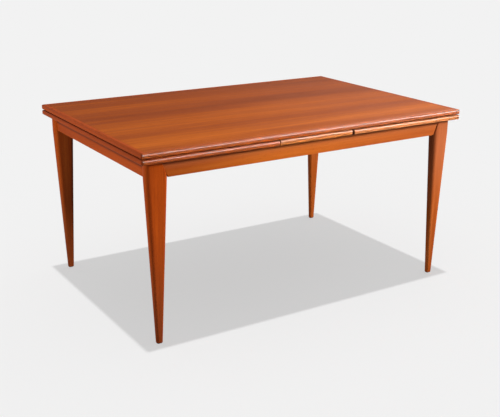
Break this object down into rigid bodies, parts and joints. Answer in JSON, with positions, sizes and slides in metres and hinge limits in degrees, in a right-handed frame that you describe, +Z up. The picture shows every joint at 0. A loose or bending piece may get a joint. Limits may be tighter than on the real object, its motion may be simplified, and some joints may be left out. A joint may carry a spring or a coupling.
{
  "type": "draw leaf table",
  "caption": "Rectangular draw leaf dining table in teak: loose main top over sliding end leaves and a fixed centre board, on a frame with tapered legs.",
  "frame": {"origin": "middle of the footprint at floor level", "axes": "+X along the table to the right, +Y to the back, +Z up"},
  "size_m": [1.46, 0.966, 0.73],
  "materials": {
    "teak_veneer": "satin lacquered teak veneer",
    "teak_lipping": "satin lacquered solid teak",
    "teak_solid": "satin lacquered solid teak",
    "beech": "planed beech, waxed",
    "beech_dowel": "turned beech",
    "felt": "dark green wool felt",
    "steel": "zinc plated steel"
  },
  "bodies": {
    "frame": {"leg_front_left": "teak_solid", "leg_front_right": "teak_solid", "leg_back_left": "teak_solid", "leg_back_right": "teak_solid", "front_apron": "teak_solid", "back_apron": "teak_solid", "left_end_apron": "teak_solid", "right_end_apron": "teak_solid", "corner_block_front_left": "beech", "corner_block_front_right": "beech", "corner_block_back_left": "beech", "corner_block_back_right": "beech", "left_rail": "beech", "right_rail": "beech", "centre_board_panel": "teak_veneer", "centre_board_front_lipping": "teak_lipping", "centre_board_back_lipping": "teak_lipping", "corner_bolts": "steel", "corner_washers": "steel", "corner_nuts": "steel", "corner_block_screws": "steel", "centre_board_screws": "steel"},
    "left_leaf": {"left_leaf_panel": "teak_veneer", "left_leaf_outer_lipping": "teak_lipping", "left_leaf_inner_lipping": "teak_lipping", "left_leaf_front_lipping": "teak_lipping", "left_leaf_back_lipping": "teak_lipping", "left_leaf_front_runner": "beech", "left_leaf_back_runner": "beech", "left_leaf_runner_screws": "steel", "left_leaf_stop_pegs": "beech_dowel"},
    "right_leaf": {"right_leaf_panel": "teak_veneer", "right_leaf_outer_lipping": "teak_lipping", "right_leaf_inner_lipping": "teak_lipping", "right_leaf_front_lipping": "teak_lipping", "right_leaf_back_lipping": "teak_lipping", "right_leaf_front_runner": "beech", "right_leaf_back_runner": "beech", "right_leaf_runner_screws": "steel", "right_leaf_stop_pegs": "beech_dowel"},
    "top_felt": {"left_felt_strip": "felt"},
    "main_top": {"main_top_panel": "teak_veneer", "main_top_front_lipping": "teak_lipping", "main_top_back_lipping": "teak_lipping", "main_top_left_lipping": "teak_lipping", "main_top_right_lipping": "teak_lipping", "guide_dowels": "beech_dowel", "right_felt_strip": "felt"}
  },
  "joints": [
    {"name": "left_leaf_draw", "type": "slide", "parent": "frame", "child": "left_leaf", "axis": [-0.9992, 0, 0.0409], "range_m": [0, 0.56197]},
    {"name": "right_leaf_draw", "type": "slide", "parent": "frame", "child": "right_leaf", "axis": [0.9992, 0, 0.0409], "range_m": [0, 0.56197]},
    {"name": "top_left_end_lift", "type": "hinge", "parent": "frame", "child": "top_felt", "pos_m": [0.73, 0, 0.709], "axis": [0, 1, 0], "range_deg": [0, 0.97]},
    {"name": "top_right_end_lift", "type": "hinge", "parent": "top_felt", "child": "main_top", "pos_m": [-0.73, 0, 0.709], "axis": [0, -1, 0], "range_deg": [0, 0.97]}
  ],
  "couplings": [
    {"joint": "top_left_end_lift", "follows": "left_leaf_draw", "rad_per_m": 0.03},
    {"joint": "top_right_end_lift", "follows": "right_leaf_draw", "rad_per_m": 0.03}
  ]
}
